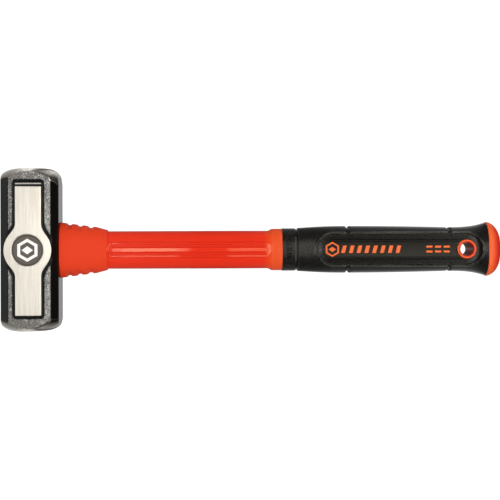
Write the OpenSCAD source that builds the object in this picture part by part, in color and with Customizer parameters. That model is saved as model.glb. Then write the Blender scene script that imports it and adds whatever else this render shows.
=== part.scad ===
// Double-faced engineer's hammer with a bonded oval handle, standing on the top of its head.
// +Z runs up the handle, X is the striking axis and Y goes through the cheeks. Millimetres.
// The origin is on the handle's centre line, level with the flat top of the head.

/* [Head] */
// Length of the head from one striking face to the other
head_l = 114.5; // [110:0.5:120]
// Thickness of the head through the cheeks
head_w = 38; // [37:0.5:40]
// Height of the head along the handle
head_h = 40.6; // [40:0.2:42]
// How far the long chamfers reach in from the cheeks
chamfer_in = 6; // [5:0.5:7]
// Height of the chamfers beside the flat top
chamfer_top = 6.9; // [6:0.1:7.5]
// Height of the chamfers on the handle side
chamfer_neck = 5.2; // [4.5:0.1:6]
// Diameter of the flat middle of each striking face
face_d = 22; // [20:0.5:24]
// Radius of the rounded bevel that runs from the face to the sides
bevel_r = 15; // [14:0.5:18]
// Diameter of the round boss on each cheek
boss_d = 33; // [31:0.2:34]
// How far the boss and its disc sit below the middle of the head
boss_drop = 0.5; // [0:0.1:1]
// Height of the milled strip along each cheek
strip_h = 17.9; // [16:0.1:19]
// Length of the milled strip
strip_l = 91; // [88:1:92]
// Width of the painted channel around the milled strip
channel_w = 2.4; // [2:0.1:2.8]
// Depth of the painted channel
channel_t = 1.2; // [0.5:0.1:1.4]
// Length of the eye along the striking axis
eye_l = 27; // [26:0.5:28]
// Width of the eye through the cheeks
eye_w = 20; // [19:0.5:20.5]
// How much the eye narrows on each side at its waist
eye_waist = 1; // [0.8:0.1:1.2]
// Diameter of the disc let into each cheek
badge_d = 21.8; // [20:0.2:23]
// Thickness of the disc
badge_t = 1.2; // [1:0.1:1.5]
// Size of the emblem cut into the disc, corner to corner
badge_mark_d = 16; // [14:0.5:18]
// Width of the emblem's lines
badge_mark_line = 2; // [1.4:0.1:2.2]
// Depth of the emblem cut into the disc
badge_cut = 0.3; // [0.2:0.1:0.5]

/* [Handle] */
// Length of the ribbed guard next to the head
guard_l = 33.3; // [32:0.1:35]
// Length of the bare shaft between the guard and the collar
shaft_l = 122.2; // [115:0.1:130]
// Length of the collar at the front of the grip
collar_l = 10; // [9:0.1:11]
// Width of the groove between the collar and the grip
groove_w = 0.8; // [0.6:0.1:1]
// Length of the grip
grip_l = 132; // [128:0.1:136]
// Length of the cap on the butt
cap_l = 10.4; // [10:0.1:11]
// Length of the fibreglass core
core_l = 309; // [300:1:311]
// Width of the core along the striking axis
core_x = 20; // [19:0.5:21]
// Width of the core through the cheeks
core_y = 13; // [12:0.5:13.5]
// Width of the bare shaft along the striking axis
shaft_x = 26.5; // [26:0.1:27]
// Width of the bare shaft through the cheeks
shaft_y = 21; // [20.6:0.1:21.6]
// Width of the recess along each side of the shaft
flute_w = 10.4; // [9:0.2:11]
// Depth of that recess
flute_t = 0.8; // [0.5:0.1:1]

/* [Grip] */
// Width of the grip where it meets the collar
grip_neck = 30.2; // [29:0.1:31]
// Width of the grip at its fullest
grip_belly = 32.9; // [32:0.1:34]
// Width of the grip at its waist
grip_waist = 30.8; // [30:0.1:31.4]
// Width of the grip where it flares out to the cap
grip_butt = 37; // [36:0.1:37.4]
// Thickness of the grip through the cheeks along its flat sides
grip_y = 26; // [25.6:0.1:26.6]
// Thickness of the grip where it flares out to the cap
butt_y = 30; // [29.6:0.1:30.4]
// Width of the oblong pocket on each side
pocket_w = 22.4; // [22:0.1:23]
// Distance between the floors of the two pockets
pocket_floor = 22.2; // [22:0.1:22.6]
// Width of the panel that carries the marks
panel_w = 13.2; // [12.6:0.1:13.6]
// Distance between the faces of the two panels
panel_y = 25; // [24.6:0.1:25.2]
// Thickness of the orange marks let into the panels
mark_t = 0.8; // [0.6:0.1:1]
// Outer diameter of the lanyard bush
bush_d = 13.2; // [12.8:0.1:13.6]
// Bore of the lanyard bush
bush_bore = 9; // [8:0.5:9.5]
// Number of bars in the row of slanted marks
bar_n = 8; // [6:1:9]
// Size of the emblem on the panel, corner to corner
emblem_d = 10.6; // [8:0.2:11]
// Width of the emblem's lines
emblem_line = 1.15; // [0.9:0.05:1.4]

/* [Hidden] */
$fn = 64;

// Colours
paint_black = [0.06, 0.06, 0.06];
disc_grey = [0.30, 0.28, 0.26];
resin_amber = [0.45, 0.33, 0.16];
glass_cream = [0.86, 0.82, 0.66];
shell_orange = [0.91, 0.22, 0.12];
soft_orange = [0.93, 0.27, 0.15];
mark_orange = [1.00, 0.45, 0.20];
grip_black = [0.10, 0.10, 0.095];

// Heights of the joints between the pieces, measured up from the top of the head
guard_z = head_h;
shaft_z = guard_z + guard_l;
collar_z = shaft_z + shaft_l;
grip_z = collar_z + collar_l + groove_w;
cap_z = grip_z + grip_l;
mid_z = head_h / 2;
boss_z = mid_z - boss_drop;

// Heights along the grip, measured up from its front end
belly_rise = 31.7;
waist_rise = 104.1;
emblem_rise = 23.7;
hole_rise = 117.1;
notch_front_rise = 35;
notch_back_rise = 105.6;
belly_z = grip_z + belly_rise;
waist_z = grip_z + waist_rise;
emblem_z = grip_z + emblem_rise;
hole_z = grip_z + hole_rise;
notch_front_z = grip_z + notch_front_rise;
notch_back_z = grip_z + notch_back_rise;

// Sections of the hard jacket where the softer pieces sit on it
under_x = 24;
under_y = 18;
core_z = 0.6;
bush_wall = 1;
core_gap = 0.6;
jacket_end_z = hole_z - bush_d / 2 - bush_wall;
socket_floor_z = core_z + core_l + core_gap;
cap_post_l = 5.2;
cap_post_z = cap_z - cap_post_l;
cap_post_x = 20;
cap_post_y = 12;

// A small overlap that makes the cuts clean
cut = 1;
// Longer than the hammer is wide
wide_l = 60;

// Share of the way from a to b at height z
function share(z, a, b) = (z - a) / (b - a);

// Half width of the grip's outline, along the striking axis
function grip_half_x(z) =
    z < belly_z ? grip_neck / 2 + (grip_belly - grip_neck) / 2 * sin(90 * share(z, grip_z, belly_z)) :
    z < waist_z ? grip_belly / 2 - (grip_belly - grip_waist) / 2 * pow(share(z, belly_z, waist_z), 2) :
    grip_waist / 2 + (grip_butt - grip_waist) / 2 * pow(share(z, waist_z, cap_z), 3);

// Half thickness of the grip through the cheeks
neck_y = 24;
function grip_half_y(z) =
    z < belly_z ? neck_y / 2 + (grip_y - neck_y) / 2 * sin(90 * share(z, grip_z, belly_z)) :
    z < waist_z ? grip_y / 2 :
    grip_y / 2 + (butt_y - grip_y) / 2 * pow(share(z, waist_z, cap_z), 3);

// A flat slot shape with round ends, x wide and y thick
module slot_shape(x, y) {
    square([x - y, y], center = true);
    for (side = [-1, 1]) translate([side * (x - y) / 2, 0]) circle(d = y);
}

// A straight column with that section, between two heights
module slot_column(x, y, z0, z1) {
    translate([0, 0, z0]) linear_extrude(z1 - z0) slot_shape(x, y);
}

// A turned shape, from a list of [half width, height]
module turned(outline) {
    rotate_extrude()
        polygon(concat([[0, outline[0][1]]], outline, [[0, outline[len(outline) - 1][1]]]));
}

// A slab along X whose half thickness follows a list of [half thickness, height]
module side_slab(outline) {
    left = [for (i = [len(outline) - 1:-1:0]) [-outline[i][0], outline[i][1]]];
    rotate([90, 0, 90]) linear_extrude(wide_l, center = true) polygon(concat(outline, left));
}

// A turned shape with flattened sides: front outline first, then side outline
module flat_sided(outline, side) {
    intersection() {
        turned(outline);
        side_slab(side);
    }
}

// Extrudes a plan drawn in X (across) and Y (up the handle), from y0 out to y1 on one side
module on_side(side, y0, y1) {
    mirror([0, side > 0 ? 1 : 0, 0])
        translate([0, -y0, 0]) rotate([90, 0, 0]) linear_extrude(y1 - y0) children();
}

// ---- Marks: plain shapes in place of any name or weight ----

bars_rise = 6;
bars_z = emblem_z + bars_rise;
bar_pitch = 5.4;
bar_w = 2.7;
bar_h = 5.3;
bar_lean = 1.4;
ticks_drop = 28.2;
ticks_z = hole_z - ticks_drop;
tick_n = 3;
tick_pitch = 6;
tick_l = 4.4;
tick_h = 1.5;
tick_row = 1.7;

// Six-sided ring
module hexagon_ring(d, line) {
    difference() {
        circle(d = d, $fn = 6);
        circle(d = d - 2.31 * line, $fn = 6);
    }
}

// Solid diamond, wide in X
module diamond(wide, tall) {
    polygon([[wide / 2, 0], [0, tall / 2], [-wide / 2, 0], [0, -tall / 2]]);
}

module emblem_plan(d, line) {
    hexagon_ring(d, line);
    diamond(d * 0.36, d * 0.5);
}

module bars_plan() {
    for (i = [0:bar_n - 1])
        translate([0, bars_z + i * bar_pitch])
            polygon([
                [-bar_h / 2, bar_lean], [bar_h / 2, 0],
                [bar_h / 2, bar_w], [-bar_h / 2, bar_w + bar_lean]
            ]);
}

// Two rows of short dashes
module ticks_plan() {
    for (i = [0:tick_n - 1], row = [-1, 1])
        translate([row * tick_row, ticks_z + i * tick_pitch + tick_l / 2])
            square([tick_h, tick_l], center = true);
}

// ---- Head ----

// Distance from the striking axis to the farthest corner of the section
corner_r = norm([head_w / 2, mid_z - chamfer_neck]);

module head_section() {
    y1 = head_w / 2;
    y0 = y1 - chamfer_in;
    polygon([
        [y0, 0], [y1, chamfer_top], [y1, head_h - chamfer_neck], [y0, head_h],
        [-y0, head_h], [-y1, head_h - chamfer_neck], [-y1, chamfer_top], [-y0, 0]
    ]);
}

// Half outline of the turned envelope: [radius, distance along the striking axis]
function bevel_points(steps) = [
    for (i = [0:steps])
        let (a = asin((corner_r - face_d / 2) / bevel_r) * i / steps)
        [face_d / 2 + bevel_r * sin(a), head_l / 2 - bevel_r * (1 - cos(a))]
];

module head_envelope() {
    ends = bevel_points(6);
    back = [for (i = [len(ends) - 1:-1:0]) [ends[i][0], -ends[i][1]]];
    translate([0, 0, mid_z]) rotate([0, 90, 0])
        rotate_extrude() polygon(concat([[0, head_l / 2]], ends, back, [[0, -head_l / 2]]));
}

// Plan of the painted channel around the milled strip, seen on the cheek
module channel_plan() {
    translate([0, mid_z]) difference() {
        square([strip_l + 2 * channel_w, strip_h + 2 * channel_w], center = true);
        square([strip_l, strip_h], center = true);
        translate([0, -boss_drop]) circle(d = boss_d);
    }
}

// Eye: a slot that narrows from both mouths towards its waist
module eye_half(z0, z1) {
    r0 = eye_w / 2;
    r1 = r0 - eye_waist;
    run = (eye_l - eye_w) / 2;
    flip = z1 < z0 ? 1 : 0;
    translate([0, 0, z0]) mirror([0, 0, flip]) {
        for (side = [-1, 1])
            translate([side * run, 0, 0]) cylinder(h = abs(z1 - z0), r1 = r0, r2 = r1);
        rotate([90, 0, 90]) linear_extrude(2 * run, center = true)
            polygon([[-r0, 0], [r0, 0], [r1, abs(z1 - z0)], [-r1, abs(z1 - z0)]]);
    }
}

module eye_solid() {
    eye_half(0, mid_z);
    eye_half(head_h, mid_z);
}

module hammer_head() {
    color(paint_black) difference() {
        union() {
            intersection() {
                rotate([90, 0, 90]) linear_extrude(head_l, center = true) head_section();
                head_envelope();
            }
            translate([0, 0, boss_z]) rotate([90, 0, 0]) cylinder(d = boss_d, h = head_w, center = true);
        }
        eye_solid();
        for (side = [-1, 1]) {
            on_side(side, head_w / 2 - channel_t, head_w / 2 + cut) channel_plan();
            on_side(side, head_w / 2 - badge_t, head_w / 2 + cut)
                translate([0, boss_z]) circle(d = badge_d);
        }
    }
}

module cheek_badge(side) {
    color(disc_grey) difference() {
        on_side(side, head_w / 2 - badge_t, head_w / 2)
            translate([0, boss_z]) circle(d = badge_d);
        on_side(side, head_w / 2 - badge_cut, head_w / 2 + cut)
            translate([0, boss_z]) emblem_plan(badge_mark_d, badge_mark_line);
    }
}

module eye_epoxy() {
    color(resin_amber) difference() {
        intersection() {
            eye_solid();
            translate([-head_l / 2, -head_w / 2, core_z]) cube([head_l, head_w, head_h - core_z]);
        }
        slot_column(core_x, core_y, core_z - cut, head_h + cut);
    }
}

// ---- Handle ----

module fiberglass_core() {
    color(glass_cream) slot_column(core_x, core_y, core_z, core_z + core_l);
}

// The bare shaft swells into the collar over this height
flare_end_drop = 6.5;
flare_start_drop = 10.1;
flare_end_z = collar_z - flare_end_drop;
flare_start_z = collar_z - flare_start_drop;
flare_x = 29.2;
flute_gap = 0.2;
flute_drop = 7.9;

module shaft_jacket() {
    half = shaft_x / 2;
    rise = flare_x / 2 - half;
    swell = [
        for (i = [0:4])
            let (t = i / 4)
            [half + rise * (1 - cos(180 * t)) / 2, flare_start_z + (flare_end_z - flare_start_z) * t]
    ];
    outline = concat([[half, shaft_z]], swell, [[flare_x / 2, collar_z]]);
    side = [for (p = outline) [p[0] - (shaft_x - shaft_y) / 2, p[1]]];
    flute_z0 = shaft_z + flute_gap;
    flute_z1 = collar_z - flute_drop;
    color(shell_orange) difference() {
        union() {
            slot_column(under_x, under_y, head_h, jacket_end_z);
            flat_sided(outline, side);
        }
        slot_column(core_x, core_y, head_h - cut, socket_floor_z);
        for (side = [-1, 1])
            on_side(side, shaft_y / 2 - flute_t, shaft_y / 2 + cut) {
                translate([0, flute_z1 - flute_w / 2]) circle(d = flute_w);
                translate([-flute_w / 2, flute_z0]) square([flute_w, flute_z1 - flute_w / 2 - flute_z0]);
            }
    }
}

guard_root = 34.8;
guard_tip = 28.4;
guard_y0 = 26;
guard_y1 = 23;
rib_pitch = 7.4;
rib_out = 1.8;
rib_wide = 5.2;
rib_n = 4;
rib_start = 0.3;
rib_root = 0.5;
rib_deep = 20;
// Each rib is this much narrower, lower and shallower than the one before it
rib_narrowing = 0.5;
rib_lowering = 0.15;
rib_fading = 1.6;

// Half width of the guard between its ribs
function guard_half(z) = guard_root / 2 + (guard_tip - guard_root) / 2 * pow(share(z, guard_z, shaft_z), 1.3);

// Outline of one rib, rounded at its crest and sunk a little into the guard
function rib_outline(i) =
    let (z0 = guard_z + rib_start + i * rib_pitch, w = rib_wide - rib_narrowing * i)
    [
        for (k = [0:6])
            let (t = k / 6, out = (rib_out - rib_lowering * i + rib_root) * sin(180 * t))
            [guard_half(z0 + w * t) - rib_root + out, z0 + w * t]
    ];

module overstrike_guard() {
    body = [for (i = [0:6]) let (z = guard_z + guard_l * i / 6) [guard_half(z), z]];
    side = [[guard_y0 / 2, guard_z], [guard_y1 / 2, shaft_z]];
    color(soft_orange) difference() {
        union() {
            flat_sided(body, side);
            // The ribs stand on the two narrow sides only and fade out towards the flats
            for (i = [0:rib_n - 1]) intersection() {
                turned(rib_outline(i));
                cube([wide_l, rib_deep - rib_fading * i, 2 * shaft_z], center = true);
            }
        }
        slot_column(under_x, under_y, guard_z - cut, shaft_z + cut);
    }
}

collar_x = 29.8;
collar_y = 23.6;
collar_edge = 0.6;
raised_t = 0.35;
raised_n = 9;
raised_pitch = 2.6;
raised_w = 1.5;
raised_z0 = collar_z + 2.8;
raised_z1 = collar_z + 6.8;

module grip_collar() {
    top_z = collar_z + collar_l;
    edged = function (half) [
        [half - collar_edge, collar_z], [half, collar_z + collar_edge],
        [half, top_z - collar_edge], [half - collar_edge, top_z]
    ];
    raised = function (half) [[half + raised_t, raised_z0], [half + raised_t, raised_z1]];
    color(grip_black) difference() {
        union() {
            flat_sided(edged(collar_x / 2), edged(collar_y / 2));
            // Raised blocks in a row around each flat side
            intersection() {
                flat_sided(raised(collar_x / 2), raised(collar_y / 2));
                for (i = [0:raised_n - 1])
                    translate([(i - (raised_n - 1) / 2) * raised_pitch, 0, collar_z + collar_l / 2])
                        cube([raised_w, 2 * collar_y, collar_l], center = true);
            }
        }
        slot_column(under_x, under_y, collar_z - cut, top_z + cut);
    }
}

// Oblong plan on the side of the grip, round about the emblem and about the lanyard hole
module oblong_plan(wide) {
    for (z = [emblem_z, hole_z]) translate([0, z]) circle(d = wide);
    translate([-wide / 2, emblem_z]) square([wide, hole_z - emblem_z]);
}

// V groove across each edge of the grip, with a narrow floor
notch_deep = 1.2;
notch_floor = 1;
notch_mouth = 3.8;

module notch(z) {
    half = grip_half_x(z);
    ring = [
        [half - notch_deep, z - notch_floor / 2], [half - notch_deep, z + notch_floor / 2],
        [half + notch_deep, z + notch_mouth / 2], [half + notch_deep, z - notch_mouth / 2]
    ];
    for (side = [-1, 1]) intersection() {
        rotate_extrude() polygon(ring);
        translate([side * (pocket_w + wide_l) / 2, 0, z])
            cube([wide_l, wide_l, 2 * notch_mouth], center = true);
    }
}

neck_wall = 1;

module grip_sleeve() {
    outline = [for (i = [0:18]) let (z = grip_z + grip_l * i / 18) [grip_half_x(z), z]];
    side = [for (i = [0:12]) let (z = grip_z + grip_l * i / 12) [grip_half_y(z), z]];
    color(grip_black) difference() {
        union() {
            flat_sided(outline, side);
            // Narrow neck at the foot of the groove, under the collar's edge
            slot_column(under_x + 2 * neck_wall, under_y + 2 * neck_wall, grip_z - groove_w, grip_z + cut);
        }
        slot_column(under_x, under_y, grip_z - groove_w - cut, jacket_end_z);
        translate([0, 0, hole_z]) rotate([90, 0, 0]) cylinder(d = bush_d, h = 2 * butt_y, center = true);
        for (side = [-1, 1]) on_side(side, pocket_floor / 2, butt_y) oblong_plan(pocket_w);
        for (z = [notch_front_z, notch_back_z]) notch(z);
        slot_column(cap_post_x, cap_post_y, cap_post_z, cap_z + cut);
    }
}

// The panel stops short of the bush, leaving this much room around and below it
bush_room = 0.8;
panel_end = 3.6;

module grip_panel(side) {
    color(grip_black) difference() {
        on_side(side, pocket_floor / 2, panel_y / 2) difference() {
            oblong_plan(panel_w);
            translate([0, hole_z]) circle(d = bush_d + 2 * bush_room);
            translate([-panel_w, hole_z - panel_end]) square([2 * panel_w, panel_w + panel_end]);
        }
        on_side(side, panel_y / 2 - mark_t, panel_y / 2 + cut) {
            translate([0, emblem_z]) emblem_plan(emblem_d, emblem_line);
            bars_plan();
            ticks_plan();
        }
    }
}

module grip_emblem(side) {
    color(mark_orange) on_side(side, panel_y / 2 - mark_t, panel_y / 2)
        translate([0, emblem_z]) emblem_plan(emblem_d, emblem_line);
}

module grip_bars(side) {
    color(mark_orange) on_side(side, panel_y / 2 - mark_t, panel_y / 2) bars_plan();
}

module grip_ticks(side) {
    color(mark_orange) on_side(side, panel_y / 2 - mark_t, panel_y / 2) ticks_plan();
}

module lanyard_bush() {
    color(mark_orange) translate([0, 0, hole_z]) rotate([90, 0, 0]) difference() {
        cylinder(d = bush_d, h = grip_y, center = true);
        cylinder(d = bush_bore, h = grip_y + 2 * cut, center = true);
    }
}

cap_max = 37.9;
cap_lip = 1.1;
cap_step = 0.1;

module end_cap() {
    half = cap_max / 2;
    z_max = cap_z + cap_lip;
    // A rounded dome: flat in the middle, turning down to its widest just above the grip
    dome = [
        for (i = [0:8])
            let (a = 90 * i / 8)
            [half * pow(cos(a), 0.62), z_max + (cap_l - cap_lip) * pow(sin(a), 1.25)]
    ];
    outline = concat([[grip_butt / 2 - cap_step, cap_z]], dome);
    side = [for (p = outline) [p[0] * butt_y / grip_butt, p[1]]];
    color(shell_orange) union() {
        flat_sided(outline, side);
        slot_column(cap_post_x, cap_post_y, cap_post_z, cap_z + cut);
    }
}

hammer_head();
cheek_badge(-1);  // cheek_badge_front
cheek_badge(1);  // cheek_badge_back
eye_epoxy();
fiberglass_core();
shaft_jacket();
overstrike_guard();
grip_collar();
grip_sleeve();
grip_panel(-1);  // grip_panel_front
grip_panel(1);  // grip_panel_back
grip_emblem(-1);  // grip_emblem_front
grip_emblem(1);  // grip_emblem_back
grip_bars(-1);  // grip_bars_front
grip_bars(1);  // grip_bars_back
grip_ticks(-1);  // grip_ticks_front
grip_ticks(1);  // grip_ticks_back
lanyard_bush();
end_cap();
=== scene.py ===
"""Double-faced sledgehammer: the finished looks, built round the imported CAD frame.

Shapes are worked out in millimetres, in the row's own frame: Z up the handle, X along the striking axis, Y
through the cheeks. MM turns them into the scene's metres. The front is the side that faces -Y.
"""
import math

import bpy
import numpy as np
from mathutils import Matrix, Vector


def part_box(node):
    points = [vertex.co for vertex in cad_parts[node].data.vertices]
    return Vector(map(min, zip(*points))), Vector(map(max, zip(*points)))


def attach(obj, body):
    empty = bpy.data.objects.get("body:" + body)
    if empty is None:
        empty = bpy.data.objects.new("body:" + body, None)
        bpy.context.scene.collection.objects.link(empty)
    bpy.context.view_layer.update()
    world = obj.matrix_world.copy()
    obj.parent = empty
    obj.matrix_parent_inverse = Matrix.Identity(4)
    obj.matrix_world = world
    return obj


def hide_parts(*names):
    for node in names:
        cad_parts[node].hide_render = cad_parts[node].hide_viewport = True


MM = 0.001

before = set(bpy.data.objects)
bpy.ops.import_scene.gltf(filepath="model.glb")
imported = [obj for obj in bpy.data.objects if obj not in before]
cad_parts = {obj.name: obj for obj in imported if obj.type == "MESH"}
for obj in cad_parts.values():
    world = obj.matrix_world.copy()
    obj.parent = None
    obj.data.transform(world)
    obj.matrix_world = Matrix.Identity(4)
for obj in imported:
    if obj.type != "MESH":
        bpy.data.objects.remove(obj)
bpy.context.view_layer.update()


def box_mm(node):
    """Lowest and highest corners of a CAD node, in millimetres."""
    low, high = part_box(node)
    return np.array(low) / MM, np.array(high) / MM


def ends_mm(node):
    """Lowest and highest Z of a CAD node, in millimetres."""
    low, high = box_mm(node)
    return low[2], high[2]


# ---- Sizes taken from the frame ----

head_low, head_high = box_mm("hammer_head")
HEAD_X, HEAD_Y, HEAD_H = head_high
HEAD_MID = HEAD_H / 2

badge_low, badge_high = box_mm("cheek_badge_front")
BADGE_R, BADGE_T = badge_high[0], badge_high[1] - badge_low[1]
BOSS_Z = badge_high[2] - BADGE_R

JACKET_Z0, JACKET_Z1 = ends_mm("shaft_jacket")
GUARD_Z0, GUARD_Z1 = ends_mm("overstrike_guard")
COLLAR_Z0, COLLAR_Z1 = ends_mm("grip_collar")
GROOVE_Z0, CAP_Z0 = ends_mm("grip_sleeve")
GROOVE_W, GROOVE_IN = 0.8, 1.6  # The groove between collar and grip: its width and its depth
GRIP_Z0 = GROOVE_Z0 + GROOVE_W
POST_Z0, CAP_Z1 = ends_mm("end_cap")

bush_low, bush_high = box_mm("lanyard_bush")
BUSH_R, BUSH_Y = bush_high[0], bush_high[1]
HOLE_Z = (bush_low[2] + bush_high[2]) / 2
BORE_R = 4.5

panel_low, panel_high = box_mm("grip_panel_front")
PANEL_R, PANEL_TOP, PANEL_FOOT = panel_high[0], -panel_low[1], -panel_high[1]

emblem_low, emblem_high = box_mm("grip_emblem_front")
EMBLEM_Z = (emblem_low[2] + emblem_high[2]) / 2
EMBLEM_R = emblem_high[0]
EMBLEM_LINE = 1.15
BADGE_MARK = (8.0, 2.0)  # Radius and line of the emblem on the cheek
bars_low, bars_high = box_mm("grip_bars_front")
BAR_N = 8
ticks_low, ticks_high = box_mm("grip_ticks_front")
MARK_T = bars_high[1] - bars_low[1]

# Slot sections, [across X, across Y], of the pieces inside the handle
UNDER = (24.0, 18.0)
CORE = (20.0, 13.0)

SHARP = math.radians(40)  # A mesh edge that turns more than this is drawn sharp
BREAK = 0.01  # Two rings this close make a step in a loft


# ---- Small shape functions; every distance is negative inside ----

def clamp01(t):
    return np.clip(t, 0.0, 1.0)


def smooth_step(a, b, t):
    """0 up to a, 1 from b on, with a soft S between."""
    s = clamp01((t - a) / (b - a))
    return s * s * (3 - 2 * s)


def hump(x, middle, spread):
    """1 at the middle, fading evenly to 0 on both sides."""
    return np.exp(-((x - middle) / spread) ** 2)


def meet(a, b, soft):
    """Where two solids overlap, with a soft edge."""
    h = clamp01(0.5 + 0.5 * (a - b) / soft)
    return a * h + b * (1 - h) + soft * h * (1 - h)


def join(a, b, soft):
    """Two solids run together, with a soft inner corner."""
    return -meet(-a, -b, soft)


def rectangle(x, z, half_x, half_z, corner):
    """A round-cornered rectangle about the origin."""
    qx, qz = np.abs(x) - half_x + corner, np.abs(z) - half_z + corner
    return np.hypot(np.maximum(qx, 0), np.maximum(qz, 0)) + np.minimum(np.maximum(qx, qz), 0) - corner


def oblong_reach(x, z):
    """Distance from the line between the emblem and the lanyard hole."""
    return np.hypot(x, z - np.clip(z, EMBLEM_Z, HOLE_Z))


def hexagon(x, z, radius):
    """Six sides, with a corner on the X axis."""
    apothem = radius * math.cos(math.radians(30))
    slope = np.abs(x) * math.cos(math.radians(30)) + np.abs(z) * 0.5
    return np.maximum(slope, np.abs(z)) - apothem


def emblem(x, z, radius, line):
    """Generic emblem: a hexagon ring round a solid diamond. x and z from its centre."""
    corner_reach = 1.155
    ring = np.abs(hexagon(x, z, radius - line / 2 * corner_reach)) - line / 2
    wide, tall = radius * 0.36, radius * 0.50
    diamond = (np.abs(x) / wide + np.abs(z) / tall - 1) * wide * tall / math.hypot(wide, tall)
    return np.minimum(ring, diamond)


def bars(x, z):
    """The row of slanted bars."""
    half = bars_high[0]
    lean, thick, corner = 1.4, 2.7, 0.35
    pitch = (bars_high[2] - bars_low[2] - lean - thick) / (BAR_N - 1)
    shear = lean * (half - x) / (2 * half)
    along = z - bars_low[2] - shear
    near = np.clip(np.round((along - thick / 2) / pitch), 0, BAR_N - 1)
    return rectangle(x, along - near * pitch - thick / 2, half, thick / 2, corner)


def ticks(x, z):
    """Two rows of three short dashes."""
    count, long, off_axis, half, corner = 3, 4.4, 1.7, 0.75, 0.3
    pitch = (ticks_high[2] - ticks_low[2] - long) / (count - 1)
    along = z - ticks_low[2]
    near = np.clip(np.round((along - long / 2) / pitch), 0, count - 1)
    return rectangle(np.abs(x) - off_axis, along - near * pitch - long / 2, half, long / 2, corner)


# ---- Mesh makers ----

def mesh_object(name, points, faces):
    """A smooth-shaded object from points in millimetres and lists of corners."""
    mesh = bpy.data.meshes.new(name)
    mesh.from_pydata((np.asarray(points) * MM).tolist(), [], [list(map(int, f)) for f in faces])
    mesh.validate()
    mesh.polygons.foreach_set("use_smooth", np.ones(len(mesh.polygons), bool))
    mesh.update()
    obj = bpy.data.objects.new(name, mesh)
    bpy.context.scene.collection.objects.link(obj)
    return obj


def settle(points, field, reach):
    """Moves points onto the surface where field is zero, each by at most about reach in a pass."""
    passes, h, least_steep = 4, 0.02, 0.2
    for _ in range(passes):
        x, y, z = points.T
        value = field(x, y, z)
        slope = np.stack([
            field(x + h, y, z) - field(x - h, y, z),
            field(x, y + h, z) - field(x, y - h, z),
            field(x, y, z + h) - field(x, y, z - h),
        ], 1) / (2 * h)
        steep = np.maximum((slope ** 2).sum(1), least_steep)
        points = points - np.clip(value / steep, -reach, reach)[:, None] * slope
    return points


def edge_cuts(value, axis):
    """Which grid edges along an axis cross the surface, and how far along each one it lies."""
    a = value.take(range(value.shape[axis] - 1), axis)
    b = value.take(range(1, value.shape[axis]), axis)
    cut = (a < 0) != (b < 0)
    return cut, np.where(cut, a / np.where(a == b, 1, a - b), 0)


def cell_sums(value):
    """For each grid cell: the sum and the number of the cuts on its twelve edges. Also the cuts of each axis."""
    shape = np.array(value.shape) - 1
    total, count = np.zeros((*shape, 3)), np.zeros(shape, int)
    cuts = []
    for axis in range(3):
        cut, part = edge_cuts(value, axis)
        cuts.append(cut)
        across, up = [k for k in range(3) if k != axis]
        for i in (0, 1):
            for j in (0, 1):
                window = [slice(None)] * 3
                window[across] = slice(i, shape[across] + i)
                window[up] = slice(j, shape[up] + j)
                hit = cut[tuple(window)]
                count += hit
                total[..., axis] += part[tuple(window)]
                total[..., across] += hit * i
                total[..., up] += hit * j
    return total, count, cuts


def net_faces(value, cuts, number):
    """A quad of cell numbers round every cut edge, facing outward."""
    faces = []
    for axis, cut in enumerate(cuts):
        i, j = [k for k in range(3) if k != axis]
        at = np.argwhere(cut)
        at = at[(at[:, i] > 0) & (at[:, j] > 0) & (at[:, i] < number.shape[i]) & (at[:, j] < number.shape[j])]
        corners = []
        for di, dj in ((1, 1), (0, 1), (0, 0), (1, 0)):
            cell = at.copy()
            cell[:, i] -= di
            cell[:, j] -= dj
            corners.append(number[tuple(cell.T)])
        quad = np.stack(corners, 1)
        outward = (value[tuple(at.T)] < 0) == (axis != 1)
        faces.append(np.where(outward[:, None], quad, quad[:, ::-1]))
    return np.concatenate(faces)


def surface_net(name, field, low, high, step):
    """A closed mesh of the surface where field(x, y, z) is zero, found on a grid of that step."""
    axes = [np.arange(a - 1.5 * step, b + 2.5 * step, step) for a, b in zip(low, high)]
    value = field(*np.meshgrid(*axes, indexing="ij"))
    total, count, cuts = cell_sums(value)
    used = count > 0
    number = np.full(count.shape, -1)
    number[used] = np.arange(used.sum())
    corner = np.argwhere(used)
    points = np.array([a[0] for a in axes]) + (corner + total[used] / count[used][:, None]) * step
    return mesh_object(name, settle(points, field, step / 2), net_faces(value, cuts, number))


def even_ring(half_x, half_y, power, count, dense_x=None):
    """Points spaced evenly round a superellipse, starting on +X; closer together about x = dense_x either way."""
    crowding, spread = 2.2, 1.3
    t = np.linspace(0, 2 * math.pi, 2881)
    c, s = np.cos(t), np.sin(t)
    x = half_x * np.sign(c) * np.abs(c) ** (2 / power)
    y = half_y * np.sign(s) * np.abs(s) ** (2 / power)
    pace = np.hypot(np.diff(x), np.diff(y))
    if dense_x:
        pace = pace * (1 + crowding * np.exp(-((np.abs(x[1:]) - dense_x) / spread) ** 2))
    run = np.concatenate([[0], np.cumsum(pace)])
    at = np.linspace(0, run[-1], count, endpoint=False)
    return np.interp(at, run, x), np.interp(at, run, y)


def slot_ring(wide, thick, angles):
    """Points round a slot with round ends, one on the ray at each angle."""
    radius, half = thick / 2, (wide - thick) / 2
    c, s = np.cos(angles), np.sin(angles)
    flat = radius / np.maximum(np.abs(s), 1e-9)
    end = half * np.abs(c) + np.sqrt(np.maximum(radius ** 2 - (half * s) ** 2, 0))
    reach = np.where(flat * np.abs(c) <= half, flat, end)
    return reach * c, reach * s


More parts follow.
